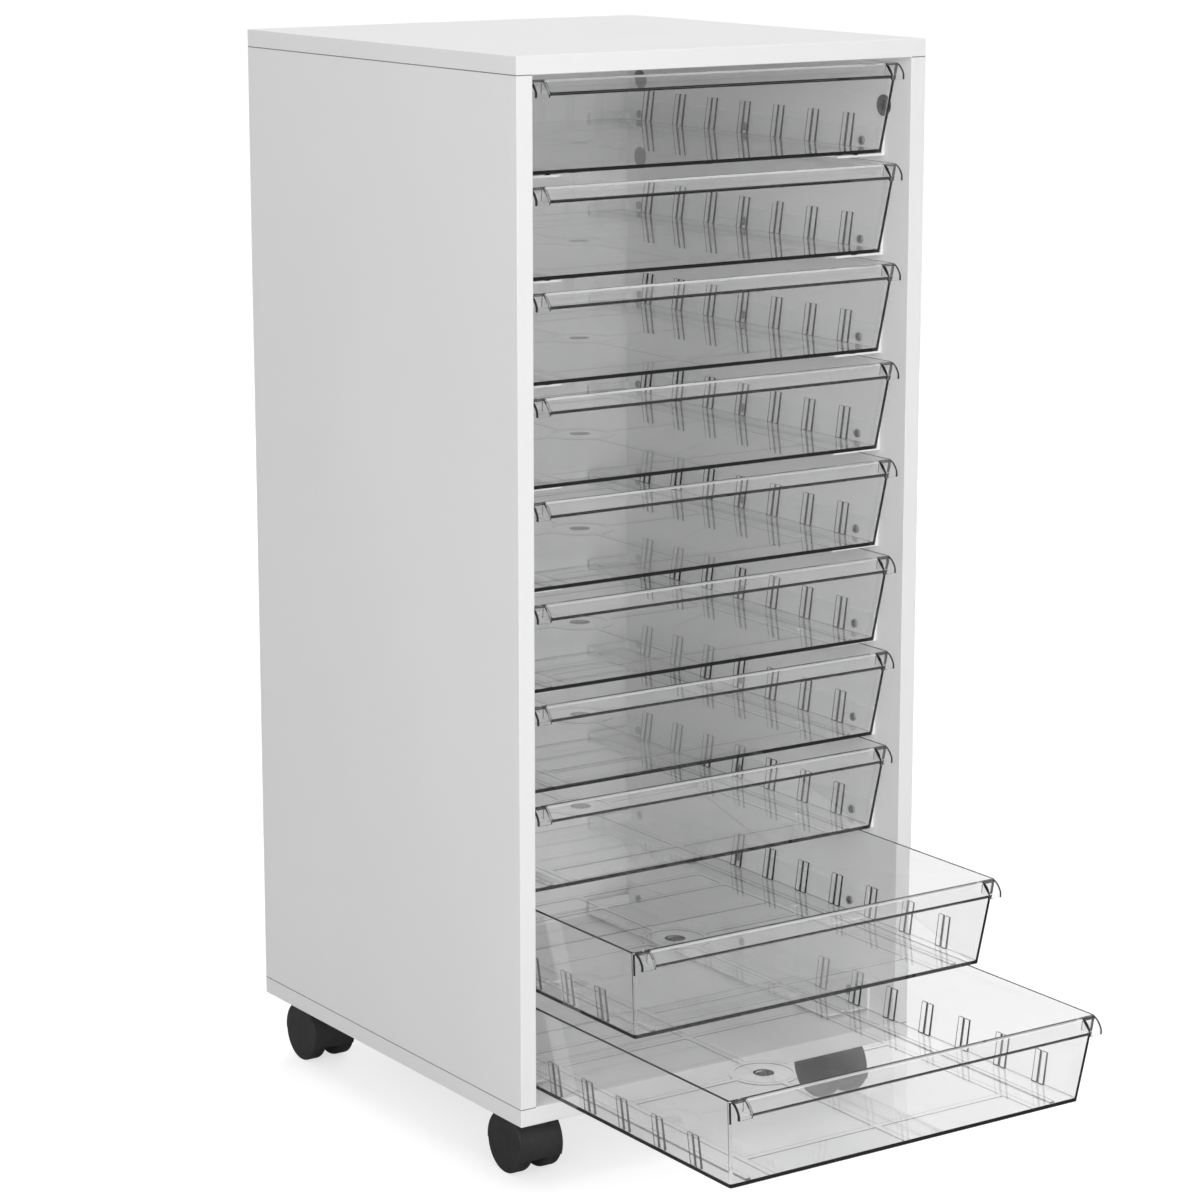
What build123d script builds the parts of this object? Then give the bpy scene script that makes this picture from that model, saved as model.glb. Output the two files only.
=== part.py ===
from build123d import *
import math
import os

os.makedirs("parts", exist_ok=True)

# ---------------------------------------------------------------------------
# Rolling drawer cart. Millimetres. +Z up, front faces -Y, +X to the right of
# someone who stands in front. Origin on the floor under the cabinet's centre.
# ---------------------------------------------------------------------------

# cabinet, white coated board
W = 405.0            # outside width
D = 430.0            # outside depth
T = 15.0             # board thickness
Z0 = 61.0            # underside of the bottom panel
CAB_H = 872.0        # cabinet height without casters
ZT = Z0 + CAB_H      # top of the cabinet
ZB = Z0 + T          # inner floor
ZC = ZT - T          # inner ceiling
IX = W / 2 - T       # inner face of each side panel
BX = W / 2 - T / 2   # middle of each side panel
Y_BACK = D / 2 - T   # inner face of the back panel
ARRIS = 0.4          # broken edge of the boards

# drawers
N = 10
PITCH = 83.75
DZ_LOW = Z0 + 23.3   # underside of the lowest drawer
DR_H = 75.0          # drawer height
DR_XB = 175.65       # half width at the underside
DR_XT = 184.65       # half width at the rim
DR_YF = -192.4       # front face at the underside
DR_YFT = -201.8      # front face at the rim
DR_YR = 192.4        # rear face at the underside
DR_YRT = 196.5       # rear face at the rim
WALL = 2.5
FLOOR = 3.0
OPEN = [0, 0, 0, 0, 0, 0, 0, 0, 148.0, 277.0]

RIM_R = 1.0          # rounded rim

# pull lip along the drawer's front: a flat sloping plate between two gussets,
# and a rounded tab with a short upright skirt outside each gusset
LIP_0 = 1.1          # flat rim in front of the wall, before the lip falls away
LIP_A = 11.2         # reach of the plate in front of the rim
LIP_B = 10.5         # drop of the plate's front edge below the rim
TAB_A = 10.4         # reach of the tabs
TAB_C = 9.3          # where a tab's curve ends and its skirt begins
TAB_B = 13.3         # drop of the tabs
LIP_T = 2.2
LIP_IN = 1.4         # root of the lip in the rim
LIP_X = 182.3        # half length over the tabs
GUS_X = 169.5        # inner face of each end gusset
GUS_T = 1.8

# divider ribs on the drawer's side walls
RIB_N = 7
RIB_P = 49.25
RIB_Y = 2.5
RIB_W = 6.0
RIB_GAP = 2.0
RIB_TOP = 30.5
RIB_IN = 2.4

# floor pattern under the drawer
PAD = 0.6            # depth of the pattern strips
STRIP = 6.0
BORDER_X = 133.0
LAT_Y = [-148.5, 2.0, 112.0, 151.5]
RING_O = 30.0
RING_I = 25.0
SKID_X = 154.0
SKID_W = 5.0
SKID_H = 1.8

# runners
RUN_T = 1.8
RUN_H = 24.0
RUN_IN = 138.3       # inner edge of the ledge
RUN_DROP = 4.0       # ledge underside below the drawer's underside
RUN_Y0 = -180.0
RUN_Y1 = 196.0
SCREW_Y = [-153.0, 12.4, 177.8]
SCREW_DZ = 7.0

# casters
CX = 161.4           # swivel axis, left and right
CY = 172.8           # swivel axis, front and rear
TRAIL = 15.7         # axle behind the swivel axis
WR = 26.0            # wheel radius, and axle height
C_HALF = 20.9        # half width over both wheels
WEB = 5.8            # half thickness of the hood's middle
WHEEL_IN = 6.4       # inner face of a wheel
AXLE_R = 3.0
STEM_R = 3.5

drawer_z = [DZ_LOW + (N - 1 - i) * PITCH for i in range(N)]


def save(shape, name):
    shape.label = name
    export_step(shape, f"parts/{name}.step")


def box(x0, x1, y0, y1, z0, z1, mode=Mode.ADD):
    with Locations(((x0 + x1) / 2, (y0 + y1) / 2, (z0 + z1) / 2)):
        Box(x1 - x0, y1 - y0, z1 - z0, mode=mode)


def rod(x, y, z, axis, r, length, mode=Mode.ADD):
    """Round bar of the given length that starts at a point and runs along axis."""
    with Locations(Plane(origin=(x, y, z), z_dir=axis).location):
        Cylinder(r, length, align=(Align.CENTER, Align.CENTER, Align.MIN), mode=mode)


# ---------------------------------------------------------------------------
# Where the carcass fasteners sit
# ---------------------------------------------------------------------------
CAM_Z = ZC - 41.8
CAM_Y = [-179.5, 179.5]
CAM_R = 7.5
DOWEL_R = 4.0
DOWEL_A = 10.0       # depth in the face of a panel
DOWEL_B = 20.0       # depth in the edge of a panel
SIDE_DOWEL_Y = [-120.0, 120.0]
BACK_DOWEL_Z = [230.0, 497.0, 764.0]
BACK_DOWEL_X = [-120.0, 120.0]
CONF_Y = [-85.0, 85.0]
CONF_BACK_X = [-100.0, 100.0]
Y_BMID = D / 2 - T / 2
CASTER_HOLE = 15.0

caster_spots = [(-CX, -CY), (CX, -CY), (-CX, CY), (CX, CY)]

# ---------------------------------------------------------------------------
# Boards
# ---------------------------------------------------------------------------
with BuildPart() as top_panel:
    box(-W / 2, W / 2, -D / 2, D / 2, ZC, ZT)
    chamfer(top_panel.edges(), ARRIS)
    for s in (-1, 1):
        for y in CAM_Y:
            rod(s * BX, y, ZC, (0, 0, 1), 2.5, 11.0, Mode.SUBTRACT)
        for y in SIDE_DOWEL_Y:
            rod(s * BX, y, ZC, (0, 0, 1), DOWEL_R, DOWEL_A, Mode.SUBTRACT)
    for x in BACK_DOWEL_X:
        rod(x, Y_BMID, ZC, (0, 0, 1), DOWEL_R, DOWEL_A, Mode.SUBTRACT)
save(top_panel.part, "top_panel")

with BuildPart() as bottom_panel:
    box(-W / 2, W / 2, -D / 2, D / 2, Z0, ZB)
    chamfer(bottom_panel.edges(), ARRIS)
    for s in (-1, 1):
        for y in SIDE_DOWEL_Y:
            rod(s * BX, y, ZB, (0, 0, -1), DOWEL_R, DOWEL_A, Mode.SUBTRACT)
    spots = [(s * BX, y) for s in (-1, 1) for y in CONF_Y] + [(x, Y_BMID) for x in CONF_BACK_X]
    for x, y in spots:
        rod(x, y, Z0, (0, 0, 1), 3.5, T, Mode.SUBTRACT)
        rod(x, y, Z0, (0, 0, 1), 5.0, 3.0, Mode.SUBTRACT)
    for cx, cy in caster_spots:
        for dx in (-CASTER_HOLE, CASTER_HOLE):
            for dy in (-CASTER_HOLE, CASTER_HOLE):
                rod(cx + dx, cy + dy, Z0, (0, 0, 1), 1.75, 11.0, Mode.SUBTRACT)
save(bottom_panel.part, "bottom_panel")


def side_panel(s):
    with BuildPart() as panel:
        box(min(s * IX, s * W / 2), max(s * IX, s * W / 2), -D / 2, D / 2, ZB, ZC)
        chamfer(panel.edges(), ARRIS)
        for y in CAM_Y:
            rod(s * IX, y, CAM_Z, (s, 0, 0), CAM_R, 12.5, Mode.SUBTRACT)
            rod(s * BX, y, ZC, (0, 0, -1), 4.0, 36.0, Mode.SUBTRACT)
        for y in SIDE_DOWEL_Y:
            rod(s * BX, y, ZC, (0, 0, -1), DOWEL_R, DOWEL_B, Mode.SUBTRACT)
            rod(s * BX, y, ZB, (0, 0, 1), DOWEL_R, DOWEL_B, Mode.SUBTRACT)
        for y in CONF_Y:
            rod(s * BX, y, ZB, (0, 0, 1), 2.5, 35.0, Mode.SUBTRACT)
        for z in BACK_DOWEL_Z:
            rod(s * IX, Y_BMID, z, (s, 0, 0), DOWEL_R, DOWEL_A, Mode.SUBTRACT)
        for zd in drawer_z:
            for y in SCREW_Y:
                rod(s * IX, y, zd + SCREW_DZ, (s, 0, 0), 1.5, 11.0, Mode.SUBTRACT)
    return panel.part


save(side_panel(-1), "left_side_panel")
save(side_panel(1), "right_side_panel")

with BuildPart() as back_panel:
    box(-IX, IX, Y_BACK, D / 2, ZB, ZC)
    chamfer(back_panel.edges(), ARRIS)
    for x in BACK_DOWEL_X:
        rod(x, Y_BMID, ZC, (0, 0, -1), DOWEL_R, DOWEL_B, Mode.SUBTRACT)
    for x in CONF_BACK_X:
        rod(x, Y_BMID, ZB, (0, 0, 1), 2.5, 35.0, Mode.SUBTRACT)
    for s in (-1, 1):
        for z in BACK_DOWEL_Z:
            rod(s * IX, Y_BMID, z, (-s, 0, 0), DOWEL_R, DOWEL_B, Mode.SUBTRACT)
save(back_panel.part, "back_panel")

# ---------------------------------------------------------------------------
# Carcass fasteners
# ---------------------------------------------------------------------------
with BuildPart() as cam_locks:
    for s in (-1, 1):
        for y in CAM_Y:
            rod(s * (IX - 0.7), y, CAM_Z, (s, 0, 0), 9.0, 0.7)
            rod(s * IX, y, CAM_Z, (s, 0, 0), CAM_R, 12.3)
            rod(s * BX, y, CAM_Z - 4.0, (0, 0, 1), 3.6, 14.0, Mode.SUBTRACT)
            x0, x1 = sorted((s * (IX - 1.0), s * (IX + 1.3)))
            box(x0, x1, y - 4.0, y + 4.0, CAM_Z - 0.9, CAM_Z + 0.9, Mode.SUBTRACT)
            box(x0, x1, y - 0.9, y + 0.9, CAM_Z - 4.0, CAM_Z + 4.0, Mode.SUBTRACT)
save(cam_locks.part, "cam_locks")

with BuildPart() as cam_bolts:
    for s in (-1, 1):
        for y in CAM_Y:
            rod(s * BX, y, ZC, (0, 0, 1), 2.5, 11.0)
            rod(s * BX, y, CAM_Z + 4.0, (0, 0, 1), 3.0, ZC - CAM_Z - 4.0)
            rod(s * BX, y, CAM_Z + 1.0, (0, 0, 1), 2.0, 3.0)
            rod(s * BX, y, CAM_Z - 3.0, (0, 0, 1), 3.2, 4.0)
save(cam_bolts.part, "cam_bolts")

with BuildPart() as joint_dowels:
    for s in (-1, 1):
        for y in SIDE_DOWEL_Y:
            rod(s * BX, y, ZC - DOWEL_B + 1.0, (0, 0, 1), DOWEL_R, DOWEL_A + DOWEL_B - 2.0)
            rod(s * BX, y, ZB - DOWEL_A + 1.0, (0, 0, 1), DOWEL_R, DOWEL_A + DOWEL_B - 2.0)
        for z in BACK_DOWEL_Z:
            rod(s * (IX - DOWEL_B + 1.0), Y_BMID, z, (s, 0, 0), DOWEL_R, DOWEL_A + DOWEL_B - 2.0)
    for x in BACK_DOWEL_X:
        rod(x, Y_BMID, ZC - DOWEL_B + 1.0, (0, 0, 1), DOWEL_R, DOWEL_A + DOWEL_B - 2.0)
save(joint_dowels.part, "joint_dowels")

with BuildPart() as carcass_screws:
    for x, y in spots:
        rod(x, y, Z0, (0, 0, 1), 5.0, 3.0)
        rod(x, y, Z0 + 3.0, (0, 0, 1), 3.5, T - 3.0)
        rod(x, y, ZB, (0, 0, 1), 2.5, 33.0)
        with BuildSketch(Plane(origin=(x, y, Z0), z_dir=(0, 0, 1))):
            RegularPolygon(2.3, 6)
        extrude(amount=2.2, mode=Mode.SUBTRACT)
save(carcass_screws.part, "carcass_screws")

# ---------------------------------------------------------------------------
# Runners, one pair for each drawer, and their screws
# ---------------------------------------------------------------------------
for i, zd in enumerate(drawer_z):
    zl = zd - RUN_DROP
    zt = zl + RUN_T
    with BuildPart() as runners:
        for s in (-1, 1):
            with BuildSketch(Plane.XZ.offset(-RUN_Y0)):
                with BuildLine():
                    Polyline(
                        (s * RUN_IN, zl), (s * IX, zl), (s * IX, zl + RUN_H),
                        (s * (IX - RUN_T), zl + RUN_H), (s * (IX - RUN_T), zt + 1.2),
                        (s * (IX - RUN_T - 1.2), zt), (s * RUN_IN, zt), close=True)
                make_face()
            extrude(amount=-(RUN_Y1 - RUN_Y0))
            # rear end stop
            a, b = sorted((s * (RUN_IN + 1.0), s * (IX - 0.5)))
            box(a, b, RUN_Y1 - RUN_T, RUN_Y1, zl + 0.5, zl + 12.0)
            # stop nub that catches the drawer's lug when it is pulled out
            a, b = sorted((s * 145.0, s * 150.0))
            box(a, b, -122.5, -118.0, zt - 0.5, zd - 0.9)
            for y in SCREW_Y:
                rod(s * (IX - 4.0), y, zd + SCREW_DZ, (s, 0, 0), 1.9, 6.0, Mode.SUBTRACT)
    save(runners.part, f"runner_pair_{i + 1:02d}")

with BuildPart() as pan_screw:
    Cylinder(3.75, 2.0, align=(Align.CENTER, Align.CENTER, Align.MIN))
    fillet(pan_screw.edges().filter_by(GeomType.CIRCLE).sort_by(Axis.Z)[-1], 1.1)
    with Locations((0, 0, 2.0)):
        Box(4.4, 0.9, 2.4, mode=Mode.SUBTRACT)
        Box(0.9, 4.4, 2.4, mode=Mode.SUBTRACT)
    Cylinder(1.5, 12.0, align=(Align.CENTER, Align.CENTER, Align.MAX))

with BuildPart() as runner_screws:
    for s in (-1, 1):
        for zd in drawer_z:
            for y in SCREW_Y:
                with Locations(Plane(origin=(s * (IX - RUN_T), y, zd + SCREW_DZ), z_dir=(-s, 0, 0)).location):
                    add(pan_screw.part)
save(runner_screws.part, "runner_screws")

# ---------------------------------------------------------------------------
# Drawer, clear moulded tray. Built closed with its underside at z = 0, then
# copied to each level and pulled out as far as it stands open.
# ---------------------------------------------------------------------------
SX = (DR_XT - DR_XB) / DR_H
SF = (DR_YFT - DR_YF) / DR_H
SR = (DR_YRT - DR_YR) / DR_H


def outline(z, inset):
    """Middle, width and depth of the tray at height z, moved in from the outside."""
    x = DR_XB + SX * z - inset
    yf = DR_YF + SF * z + inset
    yr = DR_YR + SR * z - inset
    return (yf + yr) / 2, 2 * x, yr - yf


with BuildPart() as drawer:
    for z in (0.0, DR_H):
        ym, wide, deep = outline(z, 0.0)
        with BuildSketch(Plane.XY.offset(z)):
            with Locations((0, ym)):
                RectangleRounded(wide, deep, 2.2)
    loft(ruled=True)
    for z in (FLOOR, DR_H + 1.0):
        ym, wide, deep = outline(z, WALL)
        with BuildSketch(Plane.XY.offset(z)):
            with Locations((0, ym)):
                RectangleRounded(wide, deep, 0.9)
    loft(ruled=True, mode=Mode.SUBTRACT)

    fillet(drawer.edges().filter_by(lambda e: abs(e.center().Z - DR_H) < 0.01), RIM_R)

    # pull lip: the plate
    yc, zt = DR_YFT, DR_H
    run = math.hypot(LIP_A - LIP_0, LIP_B)
    ny, nz = LIP_B / run * LIP_T, (LIP_A - LIP_0) / run * LIP_T    # plate thickness, backward and down
    slope = (LIP_A - LIP_0) / LIP_B
    with BuildSketch(Plane.YZ.offset(-GUS_X - 0.4)):
        with BuildLine():
            Polyline((yc + LIP_IN, zt), (yc - LIP_0, zt), (yc - LIP_A, zt - LIP_B),
                     (yc - LIP_A + ny, zt - LIP_B - nz),
                     (yc - LIP_0 + ny - (LIP_T - nz) * slope, zt - LIP_T), (yc + LIP_IN, zt - LIP_T), close=True)
        make_face()
    extrude(amount=2 * GUS_X + 0.8)
    # the tabs at its ends
    for s in (-1, 1):
        with BuildSketch(Plane.YZ.offset(GUS_X if s > 0 else -LIP_X)):
            with BuildLine():
                ThreePointArc((yc - LIP_0, zt), (yc - 7.7, zt - 4.6), (yc - TAB_A, zt - TAB_C))
                Polyline((yc - TAB_A, zt - TAB_C), (yc - TAB_A, zt - TAB_B),
                         (yc - TAB_A + LIP_T, zt - TAB_B), (yc - TAB_A + LIP_T, zt - TAB_C - 0.3))
                ThreePointArc((yc - TAB_A + LIP_T, zt - TAB_C - 0.3), (yc - 5.3, zt - 5.15), (yc - LIP_0, zt - LIP_T))
                Polyline((yc - LIP_0, zt - LIP_T), (yc + LIP_IN, zt - LIP_T), (yc + LIP_IN, zt), (yc - LIP_0, zt))
            make_face()
        extrude(amount=LIP_X - GUS_X)
    # the gussets between plate, tab and wall
    for s in (-1, 1):
        with BuildSketch(Plane.YZ.offset(GUS_X if s > 0 else -GUS_X - GUS_T)):
            with BuildLine():
                Polyline((yc + 1.9, zt - 1.3), (yc + 2.0, zt - 11.1), (yc - 9.0, zt - 11.1),
                         (yc - 9.0, zt - 8.5), (yc - 6.3, zt - 4.8), (yc - 2.4, zt - 1.6), close=True)
            make_face()
        extrude(amount=GUS_T)

    # pairs of divider ribs
    for s in (-1, 1):
        for k in range(RIB_N):
            y = RIB_Y + (k - (RIB_N - 1) / 2) * RIB_P
            for d in (-1, 1):
                y0 = y + d * RIB_GAP / 2 if d > 0 else y - RIB_GAP / 2 - RIB_W
                xa = DR_XB + SX * FLOOR - WALL
                xb = DR_XB + SX * RIB_TOP - WALL
                with BuildSketch(Plane.XZ.offset(-y0)):
                    with BuildLine():
                        Polyline((s * (xa - RIB_IN), FLOOR - 0.5), (s * (xa + 1.2), FLOOR - 0.5),
                                 (s * (xb + 1.2), RIB_TOP), (s * (xb - RIB_IN + 0.6), RIB_TOP), close=True)
                    make_face()
                extrude(amount=-RIB_W)

    # strips of the floor pattern, moulded on the underside
    with BuildSketch(Plane.XY.offset(-PAD)):
        for x in (-BORDER_X, 0, BORDER_X):
            with Locations((x, (LAT_Y[0] + LAT_Y[-1]) / 2 - 19.0)):
                Rectangle(STRIP, LAT_Y[-1] - LAT_Y[0] + STRIP + 38.0)
        for y in LAT_Y:
            with Locations((0, y)):
                Rectangle(2 * BORDER_X, STRIP)
        with Locations((0, LAT_Y[1])):
            Circle(RING_O)
            Circle(RING_I, mode=Mode.SUBTRACT)
    extrude(amount=PAD + 0.3)
    # gate mark in the middle of the ring
    with BuildSketch(Plane.XY.offset(-0.01)):
        with Locations((0, LAT_Y[1])):
            Circle(9.0)
    extrude(amount=1.9, taper=50, mode=Mode.SUBTRACT)

    # skids that ride on the runner ledges, and the stop lugs at the rear
    for s in (-1, 1):
        x0, x1 = sorted((s * (SKID_X - SKID_W / 2), s * (SKID_X + SKID_W / 2)))
        box(x0, x1, DR_YF + 8.0, DR_YR - 4.0, -SKID_H, 0.3)
        x0, x1 = sorted((s * 144.5, s * 150.5))
        box(x0, x1, 183.0, 187.0, -1.5, 0.3)

for i in range(N):
    tray = drawer.part.moved(Location((0, -OPEN[i], drawer_z[i])))
    save(tray, f"drawer_{i + 1:02d}")

# ---------------------------------------------------------------------------
# Casters: plate and stem stay with the cabinet, the hood swivels with its
# axle, and two wheels turn on the axle.
# ---------------------------------------------------------------------------
HOOD_I = WR + 0.45
HOOD_O = WR + 1.45
HOOD_X = C_HALF - 0.9
names = ["front_left", "front_right", "rear_left", "rear_right"]

with BuildPart() as plate:
    with BuildSketch(Plane.XY.offset(Z0 - 2.0)):
        RectangleRounded(42.0, 42.0, 4.0)
        Circle(STEM_R, mode=Mode.SUBTRACT)
        with GridLocations(2 * CASTER_HOLE, 2 * CASTER_HOLE, 2, 2):
            Circle(2.1, mode=Mode.SUBTRACT)
    extrude(amount=2.0)

with BuildPart() as stem:
    with BuildSketch(Plane.XZ):
        with BuildLine():
            Polyline((0, 34.0), (STEM_R - 0.8, 34.0), (STEM_R, 35.0), (STEM_R, 40.0),
                     (STEM_R - 0.7, 40.7), (STEM_R - 0.7, 42.3), (STEM_R, 43.0),
                     (STEM_R, Z0 - 3.6), (6.0, Z0 - 3.6), (6.0, Z0 - 2.0),
                     (STEM_R, Z0 - 2.0), (STEM_R, Z0), (0, Z0), close=True)
        make_face()
    revolve(axis=Axis.Z)

with BuildPart() as hood:
    # shell over the wheels
    with BuildSketch(Plane.YZ.offset(-HOOD_X)):
        with Locations((TRAIL, WR)):
            Circle(HOOD_O)
            Circle(HOOD_I, mode=Mode.SUBTRACT)
        with Locations((TRAIL - 30.0, WR - 30.0)):
            Rectangle(60.0, 39.4, mode=Mode.SUBTRACT)
        with Locations((TRAIL + 30.0, WR - 30.0)):
            Rectangle(60.0, 55.0, mode=Mode.SUBTRACT)
    extrude(amount=2 * HOOD_X)
    # middle web between the wheels
    with BuildSketch(Plane.YZ.offset(-WEB)):
        with Locations((TRAIL, WR)):
            Circle(HOOD_I + 0.3)
        with Locations((TRAIL - 30.0, WR - 30.0)):
            Rectangle(60.0, 39.4, mode=Mode.SUBTRACT)
        with Locations((TRAIL + 30.0, WR - 30.0)):
            Rectangle(60.0, 55.0, mode=Mode.SUBTRACT)
        with Locations((TRAIL, WR)):
            Circle(9.0)
    extrude(amount=2 * WEB)
    # neck round the stem
    rod(0, 0, 44.0, (0, 0, 1), 8.0, Z0 - 4.0 - 44.0)
    with BuildSketch(Plane.XY.offset(30.0)):
        Circle(5.0)
    extrude(amount=20.0)
    # room for the wheels beside the web
    rod(WEB, TRAIL, WR, (1, 0, 0), HOOD_I, 20.0, Mode.SUBTRACT)
    rod(-WEB, TRAIL, WR, (-1, 0, 0), HOOD_I, 20.0, Mode.SUBTRACT)
    with BuildSketch(Plane.XZ):
        with BuildLine():
            c = 0.05
            Polyline((0, 33.5), (STEM_R + c, 33.5), (STEM_R + c, 40.3),
                     (STEM_R - 0.7 + c, 41.1), (STEM_R - 0.7 + c, 41.9), (STEM_R + c, 42.7),
                     (STEM_R + c, Z0), (0, Z0), close=True)
        make_face()
    revolve(axis=Axis.Z, mode=Mode.SUBTRACT)
    # axle bore
    rod(-WEB - 1, TRAIL, WR, (1, 0, 0), AXLE_R, 2 * WEB + 2, Mode.SUBTRACT)

with BuildPart() as axle:
    rod(-18.2, TRAIL, WR, (1, 0, 0), AXLE_R, 36.4)
    chamfer(axle.edges().filter_by(GeomType.CIRCLE), 0.5)

with BuildPart() as wheel:
    # right-hand wheel, turned about the axle
    with BuildSketch(Plane(origin=(0, TRAIL, WR), x_dir=(1, 0, 0), z_dir=(0, -1, 0))):
        with BuildLine():
            Polyline((18.6, 0), (C_HALF, 0), (C_HALF, WR - 1.4))
            RadiusArc((C_HALF, WR - 1.4), (C_HALF - 1.4, WR), -1.4)
            Line((C_HALF - 1.4, WR), (10.2, WR))
            RadiusArc((10.2, WR), (WHEEL_IN, WR - 3.8), -3.8)
            Polyline((WHEEL_IN, WR - 3.8), (WHEEL_IN, 19.6), (17.8, 19.0), (17.8, 7.0),
                     (WHEEL_IN, 6.6), (WHEEL_IN, AXLE_R + 0.05), (18.6, AXLE_R + 0.05), (18.6, 0))
        make_face()
    revolve(axis=Axis((0, TRAIL, WR), (1, 0, 0)))

with BuildPart() as wheel_l:
    add(wheel.part)
    mirror(about=Plane.YZ, mode=Mode.REPLACE)

for (cx, cy), nm in zip(caster_spots, names):
    at = Location((cx, cy, 0))
    save(plate.part.moved(at), f"caster_{nm}_plate")
    save(stem.part.moved(at), f"caster_{nm}_stem")
    save(hood.part.moved(at), f"caster_{nm}_hood")
    save(axle.part.moved(at), f"caster_{nm}_axle")
    save(wheel_l.part.moved(at), f"caster_{nm}_wheel_left")
    save(wheel.part.moved(at), f"caster_{nm}_wheel_right")

with BuildPart() as plate_screw:
    Cylinder(3.5, 2.0, align=(Align.CENTER, Align.CENTER, Align.MIN))
    fillet(plate_screw.edges().filter_by(GeomType.CIRCLE).sort_by(Axis.Z)[-1], 1.0)
    with Locations((0, 0, 2.0)):
        Box(4.2, 0.9, 2.4, mode=Mode.SUBTRACT)
        Box(0.9, 4.2, 2.4, mode=Mode.SUBTRACT)
    Cylinder(1.75, 12.5, align=(Align.CENTER, Align.CENTER, Align.MAX))

with BuildPart() as caster_screws:
    for cx, cy in caster_spots:
        for dx in (-CASTER_HOLE, CASTER_HOLE):
            for dy in (-CASTER_HOLE, CASTER_HOLE):
                with Locations(Plane(origin=(cx + dx, cy + dy, Z0 - 2.0), z_dir=(0, 0, -1)).location):
                    add(plate_screw.part)
save(caster_screws.part, "caster_screws")
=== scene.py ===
import math

import bpy
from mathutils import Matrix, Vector


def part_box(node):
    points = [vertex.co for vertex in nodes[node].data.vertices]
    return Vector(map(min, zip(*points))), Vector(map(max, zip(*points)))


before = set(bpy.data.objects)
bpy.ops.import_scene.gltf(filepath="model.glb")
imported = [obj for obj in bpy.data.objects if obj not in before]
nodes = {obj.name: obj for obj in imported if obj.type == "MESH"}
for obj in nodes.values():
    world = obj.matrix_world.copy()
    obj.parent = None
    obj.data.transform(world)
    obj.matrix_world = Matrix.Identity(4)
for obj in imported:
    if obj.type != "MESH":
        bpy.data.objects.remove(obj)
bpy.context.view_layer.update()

scene = bpy.context.scene


# ---------------------------------------------------------------- node helpers

def new_material(name):
    m = bpy.data.materials.new(name)
    m.use_nodes = True
    nt = m.node_tree
    nt.nodes.clear()
    out = nt.nodes.new("ShaderNodeOutputMaterial")
    p = nt.nodes.new("ShaderNodeBsdfPrincipled")
    nt.links.new(p.outputs[0], out.inputs["Surface"])
    return m, nt, p, out


def place(nt, stretch=(1, 1, 1)):
    """The piece's own coordinates in metres, stretched."""
    tc = nt.nodes.new("ShaderNodeTexCoord")
    mp = nt.nodes.new("ShaderNodeMapping")
    mp.inputs["Scale"].default_value = stretch
    nt.links.new(tc.outputs["Object"], mp.inputs["Vector"])
    return mp.outputs[0]


def noise(nt, vec, scale, detail=2.0, rough=0.5, distort=0.0):
    n = nt.nodes.new("ShaderNodeTexNoise")
    n.inputs["Scale"].default_value = scale
    n.inputs["Detail"].default_value = detail
    n.inputs["Roughness"].default_value = rough
    n.inputs["Distortion"].default_value = distort
    nt.links.new(vec, n.inputs["Vector"])
    return n.outputs[0]


def spread(nt, value, lo, hi, to_lo, to_hi):
    r = nt.nodes.new("ShaderNodeMapRange")
    r.inputs["From Min"].default_value = lo
    r.inputs["From Max"].default_value = hi
    r.inputs["To Min"].default_value = to_lo
    r.inputs["To Max"].default_value = to_hi
    nt.links.new(value, r.inputs["Value"])
    return r.outputs[0]


def ramp(nt, value, *stops):
    r = nt.nodes.new("ShaderNodeValToRGB")
    el = r.color_ramp.elements
    while len(el) < len(stops):
        el.new(0.5)
    for e, (pos, col) in zip(el, stops):
        e.position = pos
        e.color = (*col, 1.0)
    nt.links.new(value, r.inputs[0])
    return r.outputs[0]


def bump(nt, height, strength, distance, under=None):
    b = nt.nodes.new("ShaderNodeBump")
    b.inputs["Strength"].default_value = strength
    b.inputs["Distance"].default_value = distance
    nt.links.new(height, b.inputs["Height"])
    if under is not None:
        nt.links.new(under, b.inputs["Normal"])
    return b.outputs[0]


class Num:
    """A number in a node tree, so that a mask can be written as plain arithmetic."""

    def __init__(self, nt, socket):
        self.nt, self.socket = nt, socket

    def _op(self, op, other=None, third=None):
        n = self.nt.nodes.new("ShaderNodeMath")
        n.operation = op
        for i, v in enumerate((self, other, third)):
            if isinstance(v, Num):
                self.nt.links.new(v.socket, n.inputs[i])
            elif v is not None:
                n.inputs[i].default_value = v
        return Num(self.nt, n.outputs[0])

    def __add__(self, o):
        return self._op("ADD", o)

    def __sub__(self, o):
        return self._op("SUBTRACT", o)

    def __mul__(self, o):
        return self._op("MULTIPLY", o)

    def __abs__(self):
        return self._op("ABSOLUTE")

    def __lt__(self, o):
        return self._op("LESS_THAN", o)

    def __gt__(self, o):
        return self._op("GREATER_THAN", o)

    def __or__(self, o):
        return self._op("MAXIMUM", o)

    def root(self):
        return self._op("SQRT")


def split(nt, vector_socket):
    n = nt.nodes.new("ShaderNodeSeparateXYZ")
    nt.links.new(vector_socket, n.inputs[0])
    return [Num(nt, o) for o in n.outputs]


def grey(v, warm=0.0):
    return (v * (1 + warm), v, v * (1 - warm))


# ------------------------------------------------------------------- materials

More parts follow.
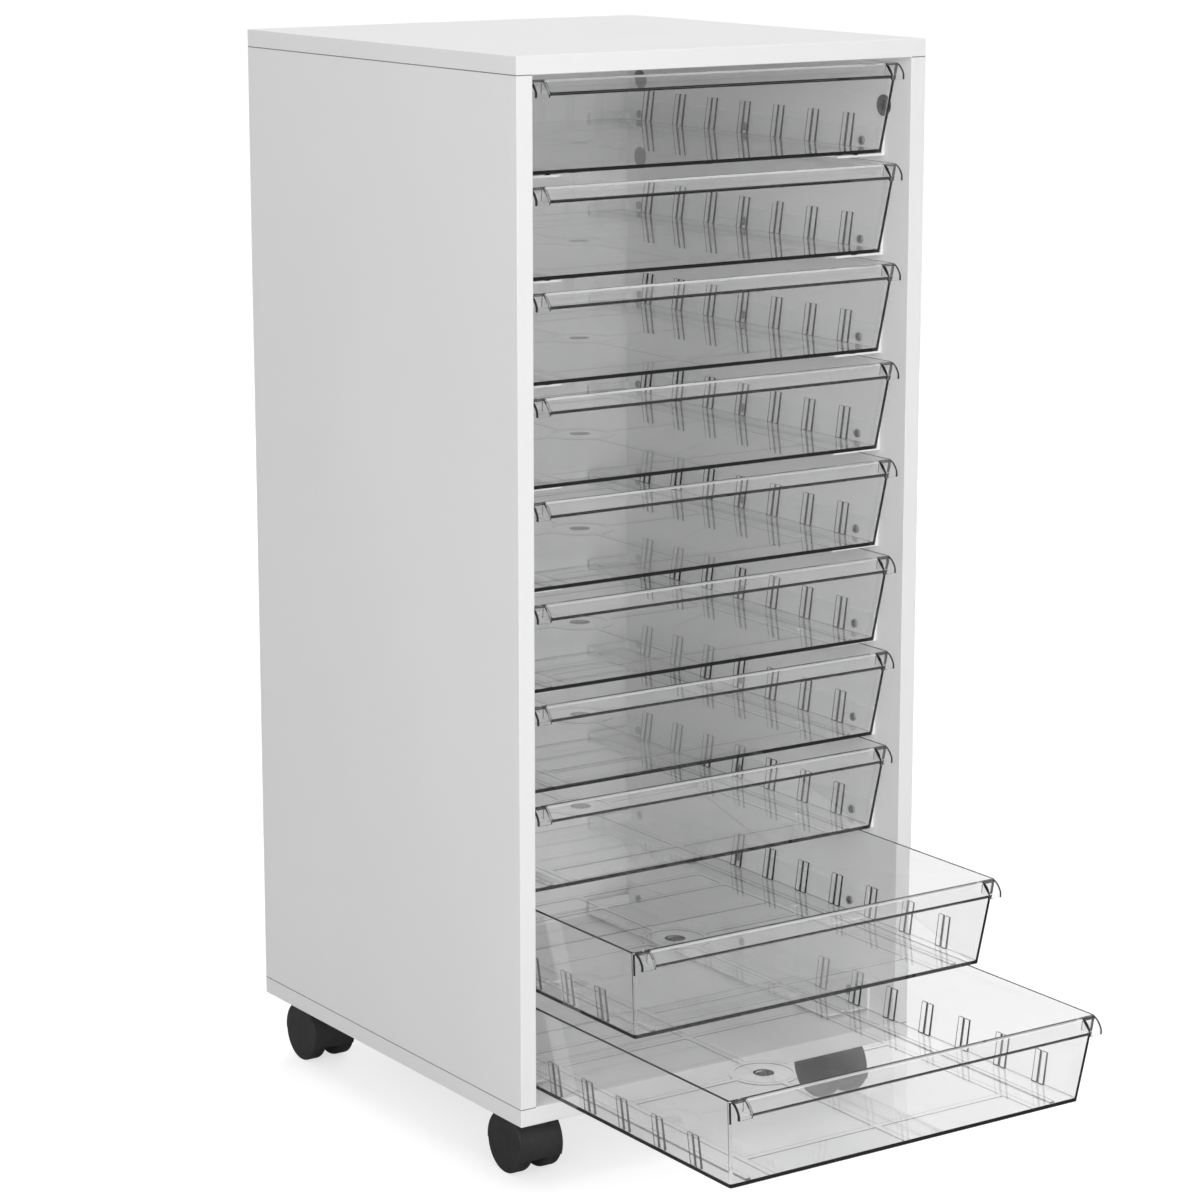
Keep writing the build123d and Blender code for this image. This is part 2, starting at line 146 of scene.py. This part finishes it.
def white_board():
    """Melamine-faced board: a satin white with a fine pearl grain, and painted shade: a dark line painted along the
    outer joints, where the gap between boards lies in shadow.
    """
    m, nt, p, _ = new_material("white_board_look")
    vec = place(nt)
    tone = noise(nt, vec, 7.0, 3.0)
    plain = ramp(nt, tone, (0.25, grey(0.90)), (0.75, grey(0.92, 0.003)))
    x, y, z = split(nt, vec)
    (low_x, low_y, low_z), (high_x, high_y, high_z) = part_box("left_side_panel")
    level = (abs(z - low_z) < 0.00042) | (abs(z - high_z) < 0.00042)
    rear = y > high_y - 0.00042
    outside = (abs(x) > -low_x - 0.00042) | (abs(y) > -low_y - 0.00042) * (abs(x) > -high_x + 0.0003) | rear
    upright = rear * (abs(abs(x) + high_x) < 0.00042) * (z > low_z) * (z < high_z)
    # painted shade: the outer joint grooves are coloured dark grey to stand in for the shadow in the gap between
    # boards
    joint = nt.nodes.new("ShaderNodeMix")
    joint.data_type = "RGBA"
    nt.links.new((level * outside | upright).socket, joint.inputs["Factor"])
    nt.links.new(plain, joint.inputs[6])
    nt.links.new(ramp(nt, tone, (0.25, grey(0.22)), (0.75, grey(0.28))), joint.inputs[7])
    nt.links.new(joint.outputs[2], p.inputs["Base Color"])
    sheen = noise(nt, vec, 55.0, 4.0, 0.6)
    nt.links.new(spread(nt, sheen, 0.3, 0.7, 0.36, 0.47), p.inputs["Roughness"])
    pearl = noise(nt, vec, 1300.0, 2.0, 0.55)
    soft = noise(nt, vec, 260.0, 1.0)
    b = bump(nt, soft, 0.05, 0.0006)
    nt.links.new(bump(nt, pearl, 0.08, 0.0002, b), p.inputs["Normal"])
    p.inputs["Specular IOR Level"].default_value = 0.4
    return m


def white_plastic():
    """Extruded white runner plastic, with faint lines along its length."""
    m, nt, p, _ = new_material("white_plastic_look")
    vec = place(nt, (1, 0.02, 1))
    streak = noise(nt, vec, 420.0, 3.0)
    nt.links.new(ramp(nt, streak, (0.25, grey(0.86)), (0.75, grey(0.90))), p.inputs["Base Color"])
    nt.links.new(spread(nt, streak, 0.3, 0.7, 0.26, 0.38), p.inputs["Roughness"])
    nt.links.new(bump(nt, streak, 0.10, 0.0003), p.inputs["Normal"])
    return m


def painted_tray_edges(nt, size):
    """How strongly each spot of a tray gets painted shade, near-black on the edges that look black from light
    trapped and bent in the plastic, and how strongly it gets a painted light band, 0 to 1.
    The ten trays are one moulding, so a spot is given in millimetres within the tray's own box."""
    tc = nt.nodes.new("ShaderNodeTexCoord")
    gx, gy, gz = split(nt, tc.outputs["Generated"])
    x = abs((gx - 0.5) * size[0])
    y = gy * size[1] - LIP_A            # from the front rim, forward is negative
    z = gz * size[2] - SKID             # from the underside
    drop = z - (size[2] - SKID)         # from the rim, down is negative
    geo = nt.nodes.new("ShaderNodeNewGeometry")
    nx, ny, nz = split(nt, geo.outputs["True Normal"])
    # along the sloping plate of the lip, and out of its face
    run = math.hypot(LIP_A - LIP_0, LIP_B)
    ty, tz = (LIP_A - LIP_0) / run, LIP_B / run
    along = (y + LIP_0) * -ty - drop * tz
    out = (y + LIP_0) * -tz + drop * ty
    # painted shade: the masks below paint near-black where the lip, gussets, ribs, feet and skids look dark from
    # light trapped and bent in the plastic, and over skid sides that would show bright reflections
    front = (y < -LIP_0 + 0.1) * (drop > -16.0)
    plate = front * (x < GUSSET + 0.3)
    lip = plate * (along > run - 1.5)
    web = plate * (x > GUSSET - 0.75) * (out > -0.3)
    tab = front * (x > GUSSET + 0.3)
    tab_end = tab * (x > LIP_HALF - 0.8)
    tab_top = tab * (y > -LIP_0 - 1.1) * (nz > 0.3)
    by_wall = (x > 165.0) * (z > 3.2) * (z < 31.5) * (abs(y - RIB_MID) < 165.0)
    ribs = by_wall * (abs(ny) > 0.9) * 0.985 | by_wall * (nz > 0.9) * 0.6
    upright = abs(nz) < 0.4
    foot = (z < 2.6) * (z > -0.01) * upright * ((x > 100.0) | (abs(y - RIB_MID) > 150.0))
    strips = (z < -0.01) * (z > -0.65) * upright * 0.95
    yd = y - RIB_MID
    # painted shade: the lower half of the round gate mark is painted dark, the upper half left clear
    gate = ((x * x + yd * yd).root() < 8.95) * (yd < 2.5) * (z < 2.4) * (z > 0.02) * 0.92
    # painted shade on the upright corner beside the lip, found by its distance from the leaning side and front
    corner = (x - drop * 0.12 > 182.65) * (y + drop * 0.1213 < 0.9) * (drop < -1.2) * (drop > -20.0) * (y > -LIP_0 + 0.1)
    # painted light: where the plate springs from the rim a pale band is painted, standing in for the light seen
    # there
    root = (x < GUSSET - 0.75) * (along > -0.2) * (along < 2.3) * (out > -0.1) * (drop > -3.0)
    return lip | web | tab_end | tab_top | ribs | foot | strips | gate | corner, root


def clear_plastic(size):
    """Clear moulded tray plastic: it greys with the length of plastic looked through, and its edges are painted
    near-black as painted shade, with a painted light band where the lip springs from the rim.
    """
    m, nt, p, out = new_material("clear_plastic_look")
    p.inputs["IOR"].default_value = 1.58
    dark, painted_light_band = painted_tray_edges(nt, size)
    # painted shade: the edge mask turns the colour near-black and takes out most of the transmission
    nt.links.new(ramp(nt, dark.socket, (0.0, (1.0, 1.0, 1.0)), (1.0, (0.012, 0.012, 0.013))), p.inputs["Base Color"])
    # painted light band: part of the transmission is taken out here, so a pale diffuse white shows
    nt.links.new((dark * -0.9 + painted_light_band * -0.42 + 1.0).socket, p.inputs["Transmission Weight"])
    vec = place(nt)
    haze = noise(nt, vec, 38.0, 4.0, 0.6)
    nt.links.new(spread(nt, haze, 0.45, 0.75, 0.0, 0.03), p.inputs["Roughness"])
    flow = noise(nt, vec, 16.0, 1.0, 0.4)
    nt.links.new(bump(nt, flow, 0.006, 0.002), p.inputs["Normal"])
    path = nt.nodes.new("ShaderNodeLightPath")
    lit = nt.nodes.new("ShaderNodeMath")
    lit.operation = "MAXIMUM"
    nt.links.new(path.outputs["Is Shadow Ray"], lit.inputs[0])
    nt.links.new(path.outputs["Is Diffuse Ray"], lit.inputs[1])
    through = nt.nodes.new("ShaderNodeBsdfTransparent")
    through.inputs["Color"].default_value = (1.0, 1.0, 1.0, 1.0)
    mix = nt.nodes.new("ShaderNodeMixShader")
    nt.links.new(lit.outputs[0], mix.inputs[0])
    nt.links.new(p.outputs[0], mix.inputs[1])
    nt.links.new(through.outputs[0], mix.inputs[2])
    nt.links.new(mix.outputs[0], out.inputs["Surface"])
    vol = nt.nodes.new("ShaderNodeVolumeAbsorption")
    vol.inputs["Color"].default_value = (0.14, 0.16, 0.17, 1.0)
    vol.inputs["Density"].default_value = 14.0
    nt.links.new(vol.outputs[0], out.inputs["Volume"])
    return m


def black_plastic(name, low, high, r_lo, r_hi, grain, depth):
    """Moulded black plastic with a fine spark-eroded grain."""
    m, nt, p, _ = new_material(name)
    vec = place(nt)
    tone = noise(nt, vec, 90.0, 4.0, 0.6)
    nt.links.new(ramp(nt, tone, (0.3, grey(low)), (0.7, grey(high))), p.inputs["Base Color"])
    rub = noise(nt, vec, 140.0, 5.0, 0.65)
    nt.links.new(spread(nt, rub, 0.3, 0.7, r_lo, r_hi), p.inputs["Roughness"])
    fine = noise(nt, vec, grain, 2.0, 0.6)
    nt.links.new(bump(nt, fine, depth, 0.0002), p.inputs["Normal"])
    p.inputs["Specular IOR Level"].default_value = 0.34
    return m


def metal(name, low, high, r_lo, r_hi, stretch=(1, 1, 1), scale=300.0):
    m, nt, p, _ = new_material(name)
    p.inputs["Metallic"].default_value = 1.0
    vec = place(nt, stretch)
    tone = noise(nt, vec, scale, 4.0, 0.6)
    nt.links.new(ramp(nt, tone, (0.3, low), (0.7, high)), p.inputs["Base Color"])
    nt.links.new(spread(nt, tone, 0.3, 0.7, r_lo, r_hi), p.inputs["Roughness"])
    fine = noise(nt, vec, scale * 5, 2.0)
    nt.links.new(bump(nt, fine, 0.12, 0.0001), p.inputs["Normal"])
    return m


def dowel_wood():
    m, nt, p, _ = new_material("dowel_wood_look")
    vec = place(nt, (1, 1, 1))
    fibre = noise(nt, place(nt, (1, 1, 0.12)), 900.0, 3.0, 0.6)
    nt.links.new(ramp(nt, fibre, (0.25, (0.42, 0.27, 0.14)), (0.75, (0.62, 0.44, 0.26))), p.inputs["Base Color"])
    nt.links.new(spread(nt, noise(nt, vec, 200.0, 2.0), 0.3, 0.7, 0.5, 0.65), p.inputs["Roughness"])
    nt.links.new(bump(nt, fibre, 0.2, 0.0003), p.inputs["Normal"])
    return m


# the tray's own measures, in millimetres
SKID = 1.8          # skids under the tray
LIP_0 = 1.1         # flat rim in front of the wall
LIP_A = 11.2        # reach of the lip's plate in front of the rim
LIP_B = 10.5        # drop of its front edge
LIP_HALF = 182.3    # half length of the lip
GUSSET = 169.5      # inner face of each lip gusset
RIB_MID = 204.0     # middle of the row of ribs, behind the front rim
tray_low, tray_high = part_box("drawer_01")
tray_size = [(b - a) * 1000.0 for a, b in zip(tray_low, tray_high)]

board = white_board()
runner_white = white_plastic()
clear = clear_plastic(tray_size)
hood_black = black_plastic("hood_black_look", 0.028, 0.039, 0.42, 0.55, 2600.0, 0.20)
wheel_black = black_plastic("wheel_black_look", 0.026, 0.037, 0.38, 0.52, 2000.0, 0.14)
steel = metal("zinc_steel_look", (0.46, 0.47, 0.48), (0.62, 0.62, 0.61), 0.26, 0.42)
screw_steel = metal("screw_steel_look", (0.30, 0.30, 0.31), (0.46, 0.46, 0.46), 0.24, 0.40, scale=700.0)
cam_metal = metal("cam_metal_look", (0.10, 0.10, 0.105), (0.20, 0.20, 0.20), 0.34, 0.5, scale=500.0)
wood = dowel_wood()

for name, ob in nodes.items():
    if name.startswith("drawer_"):
        look = clear
    elif name.startswith("runner_pair"):
        look = runner_white
    elif name.endswith("_panel"):
        look = board
    elif name.endswith("_hood"):
        look = hood_black
    elif "_wheel_" in name:
        look = wheel_black
    elif name.startswith("cam_locks"):
        look = cam_metal
    elif name == "joint_dowels":
        look = wood
    elif name.endswith("screws"):
        look = screw_steel
    else:
        look = steel
    ob.data.materials.clear()
    ob.data.materials.append(look)


# ----------------------------------------------------------------------- stage

def pale_floor():
    """A pale sweep: white to look at, and a calmer white as a source of bounced light."""
    m, nt, p, out = new_material("floor_look")
    vec = place(nt)
    tone = noise(nt, vec, 1.6, 3.0)
    nt.links.new(ramp(nt, tone, (0.3, grey(0.495)), (0.7, grey(0.505))), p.inputs["Base Color"])
    nt.links.new(spread(nt, noise(nt, vec, 9.0, 3.0), 0.3, 0.7, 0.75, 0.9), p.inputs["Roughness"])
    p.inputs["Specular IOR Level"].default_value = 0.1
    p.inputs["Emission Color"].default_value = (1.0, 1.0, 1.0, 1.0)
    path = nt.nodes.new("ShaderNodeLightPath")
    glow = Num(nt, path.outputs["Is Transmission Ray"]) * -0.11 + 0.66
    nt.links.new(glow.socket, p.inputs["Emission Strength"])
    calm = nt.nodes.new("ShaderNodeBsdfDiffuse")
    calm.inputs["Color"].default_value = (0.47, 0.47, 0.47, 1.0)
    dim = nt.nodes.new("ShaderNodeBsdfDiffuse")
    dim.inputs["Color"].default_value = (0.25, 0.25, 0.25, 1.0)
    mix = nt.nodes.new("ShaderNodeMixShader")
    nt.links.new(path.outputs["Is Diffuse Ray"], mix.inputs[0])
    nt.links.new(p.outputs[0], mix.inputs[1])
    nt.links.new(calm.outputs[0], mix.inputs[2])
    mirror = Num(nt, path.outputs["Is Glossy Ray"]) * Num(nt, path.outputs["Is Reflection Ray"])
    mix2 = nt.nodes.new("ShaderNodeMixShader")
    nt.links.new(mirror.socket, mix2.inputs[0])
    nt.links.new(mix.outputs[0], mix2.inputs[1])
    nt.links.new(dim.outputs[0], mix2.inputs[2])
    nt.links.new(mix2.outputs[0], out.inputs["Surface"])
    return m


def make_floor(half=40.0):
    me = bpy.data.meshes.new("floor")
    me.from_pydata([(-half, -half, 0), (half, -half, 0), (half, half, 0), (-half, half, 0)], [], [(0, 1, 2, 3)])
    ob = bpy.data.objects.new("floor", me)
    scene.collection.objects.link(ob)
    me.materials.append(pale_floor())
    return ob


make_floor()


def softbox(name, at, to, size, power, mirrored=True):
    data = bpy.data.lights.new(name, "AREA")
    data.shape = "RECTANGLE"
    data.size, data.size_y = size
    data.energy = power
    ob = bpy.data.objects.new(name, data)
    ob.location = at
    ob.rotation_euler = (Vector(to) - Vector(at)).to_track_quat("-Z", "Y").to_euler()
    ob.visible_camera = False
    ob.visible_transmission = False
    ob.visible_glossy = mirrored
    scene.collection.objects.link(ob)
    return ob


softbox("key_softbox", (-3.2, -2.5, 1.9), (0, 0, 0.5), (2.4, 2.4), 44.0)
softbox("front_softbox", (-1.2, -3.9, 0.9), (0, 0, 0.5), (2.4, 2.4), 69.0)
softbox("rear_softbox", (3.0, 2.8, 1.6), (0, 0, 0.5), (2.4, 2.4), 62.0, mirrored=False)

sun = bpy.data.lights.new("overhead_glow", "SUN")
sun.energy = 1.0
sun.angle = math.radians(55)
sun_ob = bpy.data.objects.new("overhead_glow", sun)
sun_ob.location = (0, 0, 4)
sun_ob.visible_camera = False
sun_ob.visible_transmission = False
scene.collection.objects.link(sun_ob)

world = bpy.data.worlds.new("studio")
scene.world = world
world.use_nodes = True
wn = world.node_tree
wn.nodes.clear()
w_out = wn.nodes.new("ShaderNodeOutputWorld")


def w_math(op, a, b):
    n = wn.nodes.new("ShaderNodeMath")
    n.operation = op
    for i, v in enumerate((a, b)):
        if isinstance(v, (int, float)):
            n.inputs[i].default_value = v
        else:
            wn.links.new(v, n.inputs[i])
    return n.outputs[0]


# a soft dome of light, brighter overhead
w_tc = wn.nodes.new("ShaderNodeTexCoord")
w_xyz = wn.nodes.new("ShaderNodeSeparateXYZ")
wn.links.new(w_tc.outputs["Generated"], w_xyz.inputs[0])
up = w_math("MAXIMUM", w_xyz.outputs["Z"], 0.0)
dome = w_math("ADD", w_math("MULTIPLY", up, 0.61), 0.11)
w_light = wn.nodes.new("ShaderNodeBackground")
wn.links.new(dome, w_light.inputs["Strength"])
w_pale = wn.nodes.new("ShaderNodeBackground")
w_pale.inputs["Color"].default_value = (0.8, 0.8, 0.8, 1.0)
w_white = wn.nodes.new("ShaderNodeBackground")
w_white.inputs["Color"].default_value = (1.0, 1.0, 1.0, 1.0)
w_path = wn.nodes.new("ShaderNodeLightPath")
w_mix = wn.nodes.new("ShaderNodeMixShader")
wn.links.new(w_path.outputs["Is Glossy Ray"], w_mix.inputs[0])
wn.links.new(w_light.outputs[0], w_mix.inputs[1])
wn.links.new(w_pale.outputs[0], w_mix.inputs[2])
seen = w_math("MAXIMUM", w_path.outputs["Is Camera Ray"], w_path.outputs["Is Transmission Ray"])
w_mix2 = wn.nodes.new("ShaderNodeMixShader")
wn.links.new(seen, w_mix2.inputs[0])
wn.links.new(w_mix.outputs[0], w_mix2.inputs[1])
wn.links.new(w_white.outputs[0], w_mix2.inputs[2])
wn.links.new(w_mix2.outputs[0], w_out.inputs["Surface"])

scene.view_settings.view_transform = "Standard"
scene.view_settings.look = "None"
scene.cycles.max_bounces = 32
scene.cycles.transmission_bounces = 28
scene.cycles.transparent_max_bounces = 32
scene.cycles.diffuse_bounces = 8
scene.cycles.glossy_bounces = 8

# ---------------------------------------------------------------------- camera

cam_data = bpy.data.cameras.new("photo_camera")
cam = bpy.data.objects.new("photo_camera", cam_data)
scene.collection.objects.link(cam)
cam.location = (-1.75203, -2.62480, 1.12019)
cam.rotation_euler = (math.pi / 2 - 0.2118, 0.0, -0.5940)
cam_data.sensor_fit = "HORIZONTAL"
cam_data.sensor_width = 36.0
cam_data.lens = 3684.39 / 1200 * 36.0
cam_data.clip_end = 200.0
scene.camera = cam
